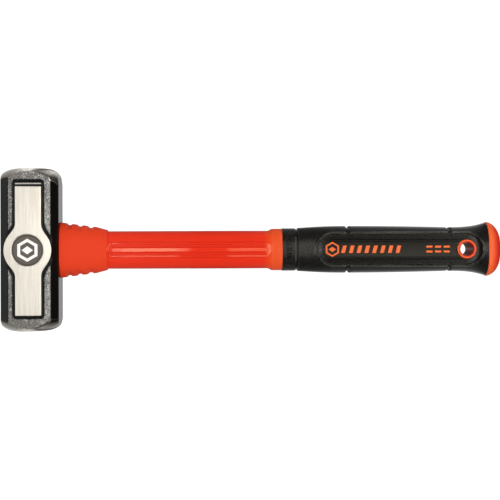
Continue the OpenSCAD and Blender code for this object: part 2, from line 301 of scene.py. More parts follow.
def stations(z0, z1, step, r0=0.0, r1=0.0):
    """Heights for a loft: even steps, and closer ones round each rounded end."""
    quarter = np.linspace(0, math.pi / 2, 6, endpoint=False)
    foot = [z0 + r0 * (1 - math.cos(a)) for a in quarter] if r0 else []
    crown = [z1 - r1 * (1 - math.cos(a)) for a in quarter[::-1]] if r1 else []
    middle = np.linspace(z0 + r0, z1 - r1, max(2, int((z1 - z0 - r0 - r1) / step) + 1))
    return np.concatenate([foot, middle, crown])


def edge_inset(z, z0, z1, r0, r1):
    """How far a rounded end draws the outline in at height z."""
    inset = 0.0
    if r0 and z < z0 + r0:
        inset = r0 - math.sqrt(max(r0 ** 2 - (z0 + r0 - z) ** 2, 0))
    if r1 and z > z1 - r1:
        inset = r1 - math.sqrt(max(r1 ** 2 - (z - z1 + r1) ** 2, 0))
    return inset


def loft(name, heights, section, around, relief=None, bore=None, dense_x=None):
    """A solid skinned over superellipse rings, hollowed by a slot bore or closed at both ends."""
    rings = []
    for z in heights:
        half_x, half_y, power = section(z)
        x, y = even_ring(half_x, half_y, power, around, dense_x)
        rings.append(np.stack([x, y, np.full(around, z)], 1))
    grid = np.array(rings)
    if relief:
        grid = relief(grid)
    if bore:
        for ring in (grid[-1].copy(), grid[0].copy()):
            angle = np.arctan2(ring[:, 1], ring[:, 0])
            x, y = slot_ring(*bore, angle)
            grid = np.concatenate([grid, np.stack([x, y, ring[:, 2]], 1)[None]])
    count = len(grid)
    points = grid.reshape(-1, 3)
    column = np.arange(around)
    beside = (column + 1) % around
    faces = []
    for row in range(count if bore else count - 1):
        a, b = row * around, (row + 1) % count * around
        faces += np.stack([a + column, a + beside, b + beside, b + column], 1).tolist()
    if not bore:
        for row, turn in ((0, -1), (count - 1, 1)):
            middle = len(points)
            points = np.vstack([points, grid[row].mean(0)])
            fan = np.stack([row * around + column, row * around + beside, np.full(around, middle)], 1)
            faces += fan[:, ::turn].tolist()
    obj = mesh_object(name, points, faces)
    obj.data.set_sharp_from_angle(angle=SHARP)
    return obj


def note(obj, name, values):
    """Stores one number per point, which a material can read."""
    obj.data.attributes.new(name, "FLOAT", "POINT").data.foreach_set("value", values.astype(np.float32))


def points_mm(obj):
    """Every point of a mesh, as three rows in millimetres."""
    flat = np.zeros(len(obj.data.vertices) * 3)
    obj.data.vertices.foreach_get("co", flat)
    return (flat.reshape(-1, 3) / MM).T


def wear(obj, look):
    """Gives an object this one material."""
    obj.data.materials.clear()
    obj.data.materials.append(look.material)


def fit(obj, node, slot):
    """The piece wears its slot's material, stands for a CAD node and rides with the hammer."""
    wear(obj, LOOKS[slot])
    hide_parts(node)
    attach(obj, "root")


# ---- Materials ----

class Look:
    """A material under construction: each call adds a node and returns its output."""

    def __init__(self, name, colour=(0.5, 0.5, 0.5), **settings):
        self.material = bpy.data.materials.new(name)
        self.material.use_nodes = True
        self.tree = self.material.node_tree
        self.shader = self.tree.nodes["Principled BSDF"]
        self.shader.inputs["Base Color"].default_value = (*colour, 1)
        for key, value in settings.items():
            self.shader.inputs[key.replace("_", " ")].default_value = value
        self.place = self.add("TexCoord").outputs["Object"]

    def add(self, kind):
        """A new node of this kind."""
        return self.tree.nodes.new("ShaderNode" + kind)

    def feed(self, socket, value):
        """Links an output to a socket, or sets the socket to a number or colour."""
        if isinstance(value, bpy.types.NodeSocket):
            self.tree.links.new(value, socket)
        elif hasattr(socket.default_value, "__len__") and len(socket.default_value) == 4:
            socket.default_value = (*value, 1)
        else:
            socket.default_value = value

    def maths(self, operation, a, b=0.0):
        """One sum on two numbers."""
        node = self.add("Math")
        node.operation = operation
        self.feed(node.inputs[0], a)
        self.feed(node.inputs[1], b)
        return node.outputs[0]

    def plus(self, a, b):
        return self.maths("ADD", a, b)

    def times(self, a, b):
        return self.maths("MULTIPLY", a, b)

    def step(self, value, low, high, to_low=0.0, to_high=1.0):
        """A soft step from to_low at low to to_high at high."""
        node = self.add("MapRange")
        node.interpolation_type = "SMOOTHSTEP"
        self.feed(node.inputs["Value"], value)
        for key, number in (("From Min", low), ("From Max", high), ("To Min", to_low), ("To Max", to_high)):
            node.inputs[key].default_value = number
        return node.outputs[0]

    def noted(self, name):
        """The number that note() stored under this name."""
        node = self.add("Attribute")
        node.attribute_name = name
        return node.outputs["Fac"]

    def noise(self, size_mm, detail=3.0, rough=0.5, along=(1, 1, 1)):
        """Soft noise with blotches of about that size; along stretches it on an axis."""
        mapping = self.add("Mapping")
        mapping.inputs["Scale"].default_value = along
        self.feed(mapping.inputs["Vector"], self.place)
        node = self.add("TexNoise")
        self.feed(node.inputs["Vector"], mapping.outputs[0])
        node.inputs["Scale"].default_value = 1 / (size_mm * MM)
        node.inputs["Detail"].default_value = detail
        node.inputs["Roughness"].default_value = rough
        return node.outputs["Fac"]

    def cells(self, size_mm):
        """Distance to the middle of the nearest of many cells of about that size."""
        node = self.add("TexVoronoi")
        self.feed(node.inputs["Vector"], self.place)
        node.inputs["Scale"].default_value = 1 / (size_mm * MM)
        return node.outputs["Distance"]

    def blend(self, factor, a, b):
        """Colour a where factor is 0, turning to colour b where it is 1."""
        node = self.add("Mix")
        node.data_type = "RGBA"
        self.feed(node.inputs["Factor"], factor)
        self.feed(node.inputs[6], a)
        self.feed(node.inputs[7], b)
        return node.outputs[2]

    def bump(self, height, depth_mm, strength=1.0):
        """Fine relief: height, from 0 to 1, stands up to depth_mm."""
        node = self.add("Bump")
        node.inputs["Strength"].default_value = strength
        node.inputs["Distance"].default_value = depth_mm * MM
        self.feed(node.inputs["Height"], height)
        self.feed(self.shader.inputs["Normal"], node.outputs[0])

    def set(self, name, value):
        """Feeds one of the shader's own sockets."""
        self.feed(self.shader.inputs[name], value)

    def base_colour(self):
        """The output that feeds the base colour so far."""
        return self.shader.inputs["Base Color"].links[0].from_socket


def head_zones(look):
    """Where each finish shows, from 0 to 1: milled strip, a painted highlight across its -X end, ground ends,
    granular band.
    """
    ragged = look.maths("SUBTRACT", look.noise(1.1, 3, 0.6), 0.5)
    pad = look.noted("pad_reach")
    flat = look.noted("flat_reach")
    milled = look.times(look.step(look.noted("mill_reach"), 0.12, -0.12), look.noted("top_face"))
    # Painted highlight: a thin line of light steel across the strip's rounded -X end, where light glints off the
    # paint.
    edge_highlight = look.times(look.step(look.noted("edge_highlight_reach"), 0.1, -0.1), look.step(flat, -1.0, -0.6))
    end_edge = look.plus(look.noted("end_reach"), look.times(ragged, 0.5))
    ground = look.step(end_edge, -0.5, -0.2)
    pad_edge = look.plus(pad, look.times(ragged, 1.7))
    flat_edge = look.plus(flat, look.times(ragged, 1.3))
    band = look.times(look.step(pad_edge, 2.0, 2.35), look.step(flat_edge, -0.15, 0.15))
    band = look.times(band, look.maths("SUBTRACT", 1.0, ground))
    return milled, edge_highlight, ground, band


def milled_colour(look, brushed):
    """Bright steel, brushed along X, in broad paler and fine darker streaks."""
    broad = look.noise(3.0, 3, 0.5, along=(0.10, 1, 1))
    colour = look.blend(broad, (0.68, 0.645, 0.58), (0.80, 0.765, 0.70))
    return look.blend(look.step(brushed, 0.42, 0.66, 0, 0.6), colour, (0.54, 0.50, 0.44))


def band_colour(look, grit):
    """Pale and dark grains, with darker patches, and painted shade towards the side away from the handle and near
    the ends.
    """
    grains = look.blend(look.step(grit, 0.43, 0.58), (0.035, 0.033, 0.031), (0.78, 0.76, 0.72))
    # Painted shade: more dark patches towards the side away from the handle and near the head's ends.
    patches = look.plus(look.noise(2.6, 3, 0.6), look.noted("painted_band_shade"))
    return look.blend(look.step(patches, 0.50, 0.66, 0, 0.6), grains, (0.09, 0.085, 0.08))


def ground_colour(look, turned):
    """Dull ground steel, with painted cream highlights in places."""
    colour = look.blend(look.step(turned, 0.38, 0.62), (0.10, 0.093, 0.076), (0.17, 0.158, 0.132))
    # Painted highlight: cream on the ground ends where light glints.
    cream = look.times(look.noted("painted_cream_highlight"), look.step(turned, 0.30, 0.52))
    return look.blend(cream, colour, (0.92, 0.88, 0.80))


def paint_colour(look):
    """Nearly even black."""
    return look.blend(look.noise(1.8, 4, 0.6), (0.0025, 0.0025, 0.0025), (0.006, 0.0058, 0.0056))


def head_look():
    """Gloss black paint, a bright milled strip, granular bare steel and ground ends, each in its own zone."""
    look = Look("head_steel", Specular_IOR_Level=0.14)
    milled, edge_highlight, ground, band = head_zones(look)
    brushed = look.noise(0.35, 4, 0.6, along=(0.02, 1, 1))
    grit = look.noise(0.6, 4, 0.75)
    turned = look.noise(0.9, 4, 0.65, along=(0.22, 1, 1))

    colour = look.blend(ground, paint_colour(look), ground_colour(look, turned))
    # Painted highlight across the strip's -X end, in light steel.
    colour = look.blend(edge_highlight, colour, (0.60, 0.58, 0.55))
    colour = look.blend(band, colour, band_colour(look, grit))
    look.set("Base Color", look.blend(milled, colour, milled_colour(look, brushed)))

    band = look.maths("MAXIMUM", band, edge_highlight)
    look.set("Metallic", look.maths("MAXIMUM", look.maths("MAXIMUM", milled, band), ground))
    roughness = look.step(grit, 0.3, 0.7, 0.17, 0.25)
    roughness = look.plus(roughness, look.times(band, 0.28))
    look.set("Roughness", look.plus(roughness, look.times(milled, 0.10)))

    height = look.times(grit, band)
    for texture, zone, share in ((brushed, milled, 0.06), (turned, ground, 0.03)):
        part = look.times(look.times(texture, zone), share)
        height = look.plus(height, part)
    ripple = look.times(look.noise(0.9, 2, 0.4), 0.05)
    look.bump(look.plus(height, ripple), 0.35)
    return look


def badge_look():
    """Dark etched steel with the emblem left bright."""
    look = Look("badge_steel", Metallic=0.9)
    bright = look.step(look.noted("emblem_reach"), 0.10, -0.10)
    rim = look.step(look.noted("rim_reach"), -1.5, -1.1)
    grain = look.noise(0.5, 4, 0.6)
    field = look.blend(grain, (0.105, 0.092, 0.082), (0.15, 0.135, 0.122))
    field = look.blend(look.times(rim, 0.45), field, (0.06, 0.05, 0.042))
    look.set("Base Color", look.blend(bright, field, (0.95, 0.93, 0.89)))
    look.set("Roughness", look.step(bright, 0.0, 1.0, 0.42, 0.34))
    look.bump(grain, 0.02, 0.6)
    return look


def moulded_look(name, colour, deep, roughness, grain_mm, grain_depth, gloss=0.2, tint=(1, 1, 1)):
    """Coloured plastic or rubber: slow colour drift, a moulded grain and uneven gloss round a roughness."""
    look = Look(name, Specular_IOR_Level=gloss, Specular_Tint=(*tint, 1))
    drift = look.noise(14, 3, 0.5)
    speck = look.noise(grain_mm * 1.6, 3, 0.6)
    look.set("Base Color", look.blend(look.times(look.plus(drift, speck), 0.5), deep, colour))
    if roughness is not None:
        look.set("Roughness", look.step(speck, 0.3, 0.7, roughness - 0.05, roughness + 0.06))
    look.bump(look.noise(grain_mm, 2, 0.5), grain_depth)
    return look


def shell_look():
    """Gloss plastic on the bare shaft, with painted shade along the steps of its recess; duller over the flare,
    where a painted sheen makes it more orange.
    """
    colour, deep, gloss, tint = (0.91, 0.041, 0.015), (0.83, 0.033, 0.013), 0.36, (1.0, 0.85, 0.63)
    look = moulded_look("jacket_plastic", colour, deep, None, 0.6, 0.0005, gloss, tint)
    rise = look.noted("flare_rise")
    # Painted shade: the plastic is darkened to deep red along both steps of the recess and round the bar.
    shaded = look.times(look.noted("crease"), 0.55)
    crease_shaded = look.blend(shaded, look.base_colour(), (0.50, 0.012, 0.012))
    # Painted sheen: over the flare the same plastic is painted a lighter, more orange colour.
    look.set("Base Color", look.blend(look.step(rise, -4.0, 4.0), crease_shaded, (0.90, 0.085, 0.016)))
    look.set("Roughness", look.step(rise, 1.8, 3.8, 0.035, 0.55))
    return look


def leather_look(name, dark, light, roughness, cell_mm, depth, gloss):
    """Black elastomer with a fine leather grain, shinier where shine is noted."""
    look = Look(name, Specular_IOR_Level=gloss)
    pebble = look.cells(cell_mm)
    crease = look.noise(cell_mm * 0.8, 3, 0.6)
    height = look.plus(look.times(pebble, 0.8), look.times(crease, 0.6))
    drift = look.noise(9, 3, 0.5)
    look.set("Base Color", look.blend(look.times(look.plus(drift, crease), 0.5), dark, light))
    matte = look.step(crease, 0.3, 0.7, roughness - 0.06, roughness + 0.08)
    look.set("Roughness", look.times(matte, look.step(look.noted("shine"), 0.0, 1.0, 1.0, 0.5)))
    look.bump(height, depth)
    return look


def bush_look():
    """Bright orange lip, with painted shade inside it: deeper orange round the mouth, dark red down the bore."""
    look = moulded_look("bush_plastic", (0.95, 0.14, 0.03), (0.88, 0.11, 0.025), 0.40, 0.5, 0.01)
    reach = look.noted("bore_reach")
    # Painted shade in the lanyard hole: dark red down the bore, deeper orange round its eased mouth.
    inner = look.blend(look.step(reach, 0.1, 0.5), (0.28, 0.012, 0.006), (0.75, 0.060, 0.018))
    look.set("Base Color", look.blend(look.step(reach, 1.0, 1.5), inner, look.base_colour()))
    return look


def cap_look():
    """Painted light and shade: orange at the lip, deepening to red over the dome."""
    look = moulded_look("cap_plastic", (0.71, 0.026, 0.011), (0.65, 0.022, 0.010), 0.50, 0.6, 0.02)
    # Painted light and shade: the lip painted a lighter orange, the dome a darker red.
    rise = look.step(look.noted("dome_rise"), 0.0, 0.75)
    look.set("Base Color", look.blend(rise, (1.0, 0.150, 0.035), look.base_colour()))
    return look


def strand_look():
    """Cut end and sides of a pulled glass-fibre rod."""
    look = Look("fibreglass", Roughness=0.55)
    strands = look.noise(0.5, 4, 0.7, along=(1, 1, 0.03))
    look.set("Base Color", look.blend(strands, (0.62, 0.55, 0.36), (0.88, 0.85, 0.70)))
    look.bump(strands, 0.05)
    return look


def resin_look():
    """Amber epoxy with a poured, slightly wavy top."""
    look = Look("eye_resin", Roughness=0.18, Coat_Weight=0.4)
    wave = look.noise(3.5, 2, 0.5)
    look.set("Base Color", look.blend(wave, (0.16, 0.085, 0.03), (0.36, 0.22, 0.08)))
    look.bump(wave, 0.25)
    return look


# ---- Head ----

# The long chamfers: inward from the cheek, and along Z at the top and at the neck side
CHAMFER_IN, CHAMFER_TOP, CHAMFER_NECK = 6.0, 6.9, 5.2
# The striking face: radius of its flat middle, and of the curve round it
FACE_R, BEVEL_R = 11.0, 15.0
# The raised strip on each cheek, the round boss on it, and where the strip's milled part starts
PAD_X0, PAD_X1, PAD_HALF_Z = -46.8, 45.3, 8.95
BOSS_R = 16.5
MILL_X0 = -44.1
# The channel round the strip, the depth of the rough band beyond it, and the height of the band's lumps
CHANNEL_W, CHANNEL_T = 2.4, 1.25
BAND_SUNK, BAND_LUMP = 0.30, 0.16
EYE = (27.0, 20.0)


def head_section(y, z):
    """The cheek's neighbours: top, neck side and the four long chamfers."""
    y = np.abs(y)
    top = ((y - HEAD_Y + CHAMFER_IN) * CHAMFER_TOP - z * CHAMFER_IN) / math.hypot(CHAMFER_IN, CHAMFER_TOP)
    neck = ((y - HEAD_Y) * CHAMFER_NECK + (z - HEAD_H + CHAMFER_NECK) * CHAMFER_IN) / math.hypot(
        CHAMFER_IN, CHAMFER_NECK
    )
    return meet(meet(top, neck, 0.4), meet(-z, z - HEAD_H, 0.4), 1.3)


def head_ends(x, y, z):
    """Striking faces: flat in the middle, turned down round the rim, a little more so on the neck side.

    The +X face is set back, and slopes away towards the neck side.
    """
    set_back, slope, slope_from, droop_from = 0.5, 0.025, -4, 8
    rise = z - HEAD_MID
    out_of_square = np.where(x > 0, set_back + slope * np.maximum(rise - slope_from, 0), 0)
    droop = np.where(x > 0, 0.003, 0.012)
    rise = rise + droop * np.maximum(rise - droop_from, 0) ** 2
    out = np.maximum(np.hypot(y, rise) - FACE_R, 0)
    return np.hypot(out, np.maximum(np.abs(x) + out_of_square - HEAD_X + BEVEL_R, 0)) - BEVEL_R


def pad_outline(x, z):
    """Plan of the raised strip with its round boss."""
    corner, fillet = 0.6, 4.5
    middle, half = (PAD_X0 + PAD_X1) / 2, (PAD_X1 - PAD_X0) / 2
    strip = rectangle(x - middle, z - HEAD_MID, half, PAD_HALF_Z, corner)
    return join(strip, np.hypot(x, z - BOSS_Z) - BOSS_R, fillet)


def lumps(x, z):
    """Uneven forged surface: the mean of slanted waves, each with its length, turn and shift."""
    waves = ((2.1, 0.4, 0.3), (3.3, 1.9, 1.7), (1.4, 2.6, 4.1), (5.2, 1.1, 2.2), (2.7, 3.0, 5.0))
    total = 0.0
    for size, turn, shift in waves:
        total = total + np.sin((x * math.cos(turn) + z * math.sin(turn)) * 2 * math.pi / size + shift)
    return total / len(waves)


def cheek_height(x, z):
    """How far the cheek stands out: the strip, the channel round it and the rough band beyond.

    The strip's -X end, before the milling starts, lies a little lower.
    """
    end_sunk = 0.30
    pad = pad_outline(x, z)
    groove = np.sqrt(np.maximum(1 - (2 * pad / CHANNEL_W - 1) ** 2, 0))
    band = smooth_step(CHANNEL_W - 0.2, CHANNEL_W + 0.2, pad)
    end = end_sunk * (1 - smooth_step(MILL_X0 - 0.5, MILL_X0 + 0.1, x)) * (pad < 0.3)
    return HEAD_Y - CHANNEL_T * groove - band * (BAND_SUNK - BAND_LUMP * lumps(x, z)) - end


def head_body(x, y, z):
    """The forging without its eye and its seats for the badges; the bosses run past the band's edges."""
    cheek = np.abs(y) - cheek_height(x, z)
    body = meet(meet(cheek, head_section(y, z), 0.8), head_ends(x, y, z), 0.9)
    boss = meet(np.hypot(x, z - BOSS_Z) - BOSS_R, np.abs(y) - HEAD_Y, 0.4)
    return np.minimum(body, boss)


def eye(x, y, z):
    """The slot through the head, a little narrower at its waist, with eased mouths."""
    waist_in, mouth_out = 1.0, 0.6
    mouth = np.abs(z - HEAD_MID) / HEAD_MID
    waist = waist_in - mouth - mouth_out * smooth_step(0.96, 1.0, mouth)
    run = (EYE[0] - EYE[1]) / 2
    return np.hypot(np.maximum(np.abs(x) - run, 0), y) - EYE[1] / 2 + waist


def head_field(x, y, z):
    """The whole forging."""
    badge = np.maximum(np.hypot(x, z - BOSS_Z) - BADGE_R, HEAD_Y - BADGE_T - np.abs(y))
    return np.maximum(np.maximum(head_body(x, y, z), -eye(x, y, z)), -badge)


def note_zones(head):
    """Stores how far each point lies from the edge of each finish and of the painted highlight on the strip's
    end, where the band gets painted shade and where the ground ends get painted highlights.
    """
    x, y, z = points_mm(head)
    rise = z - HEAD_MID
    pad = pad_outline(x, z)
    nib = 1.4 * hump(rise, 1.4, 1.2) * smooth_step(-3.0, 0.0, rise)
    # The painted highlight across the strip's -X end: where its line lies, and its half width.
    edge_highlight_x, edge_highlight_half = -46.0, 0.45
    note(head, "pad_reach", pad)
    note(head, "mill_reach", np.maximum(pad, np.maximum(MILL_X0 - x, x - PAD_X1 + 0.15 - nib)))
    note(head, "edge_highlight_reach", np.maximum(pad - 0.1, np.abs(x - edge_highlight_x) - edge_highlight_half))
    note(head, "top_face", smooth_step(HEAD_Y - 0.5, HEAD_Y - 0.2, np.abs(y)))
    note(head, "flat_reach", np.abs(y) - HEAD_Y + BAND_SUNK - head_section(y, z))
    note(head, "end_reach", head_ends(x, y, z) - np.maximum(np.abs(y) - HEAD_Y, head_section(y, z)))
    near_end = smooth_step(46.0, 48.5, np.abs(x))
    # Painted shade on the rough band: darker towards the side away from the handle (low Z) and near the head's
    # ends.
    note(head, "painted_band_shade", 0.15 * smooth_step(0, -8, rise) + 0.12 * near_end)
    # Where the ground ends get painted highlights: two bands across the -X end, one fainter broad band across the
    # +X end.
    left = hump(rise, 0, 7.0) + 0.65 * hump(rise, 16, 4.0)
    note(head, "painted_cream_highlight", np.where(x < 0, left, 0.55 * hump(rise, 1, 8.0)))


def make_head():
    head = surface_net("head_forging", head_field, head_low, head_high, 0.5)
    note_zones(head)
    fit(head, "hammer_head", "head_steel")


def badge_field(x, y, z):
    """A disc whose emblem stands a hair proud of its etched field."""
    gap, etched = 0.04, 0.12
    up = z - BOSS_Z
    plate = meet(np.hypot(x, up) - BADGE_R + gap, np.abs(y) - HEAD_Y + etched, 0.15)
    mark = np.maximum(emblem(x, up, *BADGE_MARK), np.abs(y) - HEAD_Y)
    return np.maximum(join(plate, mark, 0.1), HEAD_Y - BADGE_T - np.abs(y))


def make_badge(name):
    low, high = box_mm(f"cheek_badge_{name}")
    badge = surface_net(f"badge_{name}", badge_field, low, high, 0.22)
    x, _, z = points_mm(badge)
    note(badge, "emblem_reach", emblem(x, z - BOSS_Z, *BADGE_MARK))
    note(badge, "rim_reach", np.hypot(x, z - BOSS_Z) - BADGE_R)
    fit(badge, f"cheek_badge_{name}", "badge_steel")


# ---- Handle ----

SHAFT = (13.25, 10.5)
SHAFT_POWER = 2.5
FLARE = 14.6
# The long recess: half width, corner radii at its foot and crown, ends, and width of the ledge round it
FLUTE_R, FLUTE_CORNERS = 5.2, (3.4, 4.6)
FLUTE_Z0, FLUTE_Z1 = GUARD_Z1 + 0.2, COLLAR_Z0 - 7.9
LEDGE_W = 1.5
SWELL_Z = COLLAR_Z0 - 10.1  # Where the shaft starts to widen towards the collar


def long_slot(x, z, z0, z1, half, corners):
    """A long recess seen from the side, with its own corner radius at each end."""
    corner = np.where(z < (z0 + z1) / 2, *corners)
    return rectangle(x, z - (z0 + z1) / 2, half, (z1 - z0) / 2, corner)


def flute_inward(x, z):
    """How far inside the recess's outline a point is."""
    return -long_slot(x, z, FLUTE_Z0, FLUTE_Z1, FLUTE_R, FLUTE_CORNERS)


def off_bar(x, z):
    """Distance from the bar that stands in the recess."""
    return long_slot(x, z, FLUTE_Z0 + 3.5, FLUTE_Z1 - 2.9, 1.6, (0.3, 1.55))


def flute_depth(x, z):
    """The long recess, measured down from the crest of the shaft's flat side.

    A fine step down, a ledge that faces nearly outward, a second step, a floor that climbs to the raised bar. At
    the crown, where upper is 1, the ledge leans more and the floor falls.
    """
    half_x, half_y, power = *SHAFT, SHAFT_POWER
    nudge, bar_depth = 0.01, 0.09
    inward = flute_inward(x, z)
    across = (flute_inward(x - nudge, z) - inward) / nudge
    upper = clamp01((flute_inward(x, z - nudge) - inward) / nudge)
    rim_x = np.abs(x + across * inward)
    rim = half_y - half_y * (1 - clamp01(rim_x / half_x) ** power) ** (1 / power)
    ledge = rim + 0.07 + (0.044 + 0.141 * upper) * inward
    floor = (0.42 + 0.5 * rim) * (1 - upper) + 0.36 * upper
    floor = floor + (0.174 * upper - 0.144) * (inward - LEDGE_W)
    depth = ledge + (floor - ledge) * smooth_step(LEDGE_W - 0.12, LEDGE_W + 0.12, inward)
    bar = smooth_step(0.16, -0.16, off_bar(x, z))
    return depth * (1 - bar) + bar_depth * bar


def jacket_section(z):
    """Half sizes and corner power of the jacket at a height."""
    if z < GUARD_Z1 or z > COLLAR_Z0:
        return UNDER[0] / 2, UNDER[1] / 2, 2.6
    widen = FLARE - SHAFT[0]
    swell_x = widen * float(smooth_step(SWELL_Z, SWELL_Z + 3.6, z))
    swell_y = widen * float(smooth_step(FLUTE_Z1 + 0.2, COLLAR_Z0 - 1.5, z))
    return SHAFT[0] + swell_x, SHAFT[1] + swell_y, SHAFT_POWER


def jacket_relief(grid):
    """Sinks the recess into both flat sides."""
    x, y, z = np.moveaxis(grid, -1, 0)
    inside = smooth_step(0.0, 0.1, flute_inward(x, z)) * (z >= GUARD_Z1) * (z <= FLUTE_Z1)
    out = np.abs(y) * (1 - inside) + (SHAFT[1] - flute_depth(x, z)) * inside
    grid[..., 1] = np.sign(y) * out
    return grid


def make_jacket():
    """The hard orange jacket: hidden feet at both ends, the bare shaft between, a flare up to the collar."""
    heights = np.concatenate([
        stations(JACKET_Z0, GUARD_Z1 - BREAK, 12),
        stations(GUARD_Z1, FLUTE_Z0 + 4.2, 0.12),
        stations(FLUTE_Z0 + 4.5, FLUTE_Z1 - 7.2, 0.8),
        stations(FLUTE_Z1 - 6.9, FLUTE_Z1 + 0.4, 0.15),
        stations(FLUTE_Z1 + 0.6, COLLAR_Z0, 0.3),
        stations(COLLAR_Z0 + BREAK, JACKET_Z1, 12),
    ])
    jacket = loft("shaft_shell", heights, jacket_section, 330, jacket_relief, CORE, FLUTE_R - 0.7)
    x, _, z = points_mm(jacket)
    inward = flute_inward(x, z)
    # Where the shaft gets painted shade: along both steps of the recess and round the bar.
    creases = [hump(inward, -0.1, 0.32), hump(inward, LEDGE_W + 0.1, 0.32), hump(off_bar(x, z), 0.25, 0.32)]
    note(jacket, "crease", np.maximum.reduce(creases))
    note(jacket, "flare_rise", z - SWELL_Z)
    fit(jacket, "shaft_jacket", "jacket_plastic")


def make_guard():
    """The soft guard: a tapering sleeve with grooves across its two narrow sides."""
    foot_round, crown_round = 0.5, 0.7
    foot_x, taper, tail_x, tail_taper, tail_rise = 19.6, 0.133, 16.4, 2.2, 22
    foot_y, taper_y = 13.0, 1.3
    grooves = [GUARD_Z0 + 6.5 + 7.3 * i for i in range(3)]

    def section(z):
        rise = z - GUARD_Z0
        half_x = foot_x - taper * rise
        if rise > tail_rise:
            half_x = min(half_x, float(tail_x - tail_taper * clamp01((rise - 24.8) / 8.0)))
        half_y = foot_y - taper_y * rise / (GUARD_Z1 - GUARD_Z0)
        inset = edge_inset(z, GUARD_Z0, GUARD_Z1, foot_round, crown_round)
        return half_x - inset, half_y - inset, 2.5

    def relief(grid):
        x, _, z = np.moveaxis(grid, -1, 0)
        edge = np.abs(x).max(axis=1, keepdims=True)
        near_side = smooth_step(4.6, 1.6, edge - np.abs(x))
        depth = sum(smooth_step(2.1, 0.8, np.abs(z - at)) for at in grooves)
        grid[..., 0] = x - np.sign(x) * near_side * depth
        return grid

    heights = stations(GUARD_Z0, GUARD_Z1, 0.35, foot_round, crown_round)
    guard = loft("ribbed_guard", heights, section, 300, relief, UNDER)
    fit(guard, "overstrike_guard", "guard_rubber")


def make_collar():
    """The band in front of the grip, with a row of low blocks on each flat side."""
    half_x, half_y = 14.9, 11.8
    foot_round, crown_round = 0.5, 0.3
    bevel_z, bevel_lean = COLLAR_Z1 - 1.1, 0.4
    count, pitch, proud = 9, 2.6, 0.45
    block_half_x, block_half_z, block_z = 0.75, 2.0, COLLAR_Z0 + 4.8

    def section(z):
        bevel = max(z - bevel_z, 0) * bevel_lean
        inset = edge_inset(z, COLLAR_Z0, COLLAR_Z1, foot_round, crown_round) + bevel
        return half_x - inset, half_y - inset, 2.9

    def relief(grid):
        x, y, z = np.moveaxis(grid, -1, 0)
        near = np.clip(np.round(x / pitch), -(count // 2), count // 2) * pitch
        block = rectangle(x - near, z - block_z, block_half_x, block_half_z, 0.3)
        facing = np.abs(y) > half_y * 0.55
        grid[..., 1] = y + np.sign(y) * proud * smooth_step(0.15, -0.2, block) * facing
        return grid

    heights = stations(COLLAR_Z0, COLLAR_Z1, 0.25, foot_round, crown_round)
    collar = loft("collar_band", heights, section, 380, relief, UNDER)
    note(collar, "shine", smooth_step(half_y + 0.05, half_y + 0.3, np.abs(points_mm(collar)[1])))
    fit(collar, "grip_collar", "grip_rubber")


BELLY_Z, WAIST_Z = GRIP_Z0 + 31.7, GRIP_Z0 + 104.1
# Half sizes across X and Y at the neck, belly, waist and butt
GRIP_X, GRIP_Y = (15.1, 16.45, 15.4, 18.5), (12.0, 13.0, 13.0, 15.0)
# Reach of the long pocket's edge, and of the middle of the bead round it
POCKET_R, BEAD_R = 11.2, 11.4
NOTCHES, NOTCH_T = (GRIP_Z0 + 35.0, GRIP_Z0 + 105.6), 1.6
NECK_ROUND = 0.9


def grip_half(z, neck, belly, waist, butt):
    """Half size of the grip at a height, from its sizes at the neck, belly, waist and butt."""
    if z < BELLY_Z:
        return neck + (belly - neck) * math.sin(math.pi / 2 * max(z - GRIP_Z0, 0) / (BELLY_Z - GRIP_Z0))
    if z < WAIST_Z:
        return belly - (belly - waist) * ((z - BELLY_Z) / (WAIST_Z - BELLY_Z)) ** 2
    return waist + (butt - waist) * ((z - WAIST_Z) / (CAP_Z0 - WAIST_Z)) ** 3


def grip_section(z):
    """Half sizes and corner power of the grip at a height."""
    inset = edge_inset(z, GRIP_Z0, CAP_Z0, NECK_ROUND, 0.0) if z >= GRIP_Z0 else GROOVE_IN
    power = 3.1 - 0.7 * float(smooth_step(WAIST_Z, CAP_Z0, z))
    return grip_half(z, *GRIP_X) - inset, grip_half(z, *GRIP_Y) - inset, power


def bead_height(x, z, out):
    """How far the bead stands up from the grip; its flat top is level across its width."""
    proud = 0.30
    reach = oblong_reach(x, z)
    crest_x = np.abs(x) * BEAD_R / np.maximum(reach, 0.01)
    half_x, half_y, power = (np.array(part)[:, None] for part in zip(*map(grip_section, z[:, 0])))
    crest = half_y * (1 - clamp01(crest_x / half_x) ** power) ** (1 / power) + proud
    return np.maximum(crest - out, 0) * smooth_step(1.0, 0.6, np.abs(reach - BEAD_R))


def pocket_level(reach):
    """Height of the pocket's floor: the panel's seat, and round it a channel that slopes down to the wall."""
    profile = (
        (0.0, 0.0), (PANEL_R - 0.05, 0.0), (PANEL_R + 0.25, 0.75), (POCKET_R - 1.3, 0.05), (POCKET_R - 0.7, 0.1)
    )
    at, rise = zip(*profile)
    return PANEL_FOOT + np.interp(reach, at, rise)


def grip_relief(grid):
    """The bead, the pocket inside it, and the two notches across the narrow sides."""
    x, y, z = np.moveaxis(grid, -1, 0)
    out = np.abs(y)
    reach = oblong_reach(x, z)
    raised = out + bead_height(x, z, out)
    inside = smooth_step(POCKET_R - 0.45, POCKET_R - 1.05, reach)
    sunk = raised * (1 - inside) + np.minimum(pocket_level(reach), raised) * inside
    facing = out > 5.0
    level = np.where(facing, sunk, out)
    cut = NOTCH_T * sum(smooth_step(1.75, 0.15, np.abs(z - at)) for at in NOTCHES)
    narrow_side = np.maximum(smooth_step(9.6, 11.4, np.abs(x)), ~facing * 1.0)
    scale = 1 - cut * narrow_side / np.maximum(np.hypot(x, out), 1)
    return np.stack([x * scale, np.sign(y) * level * scale, z], -1)


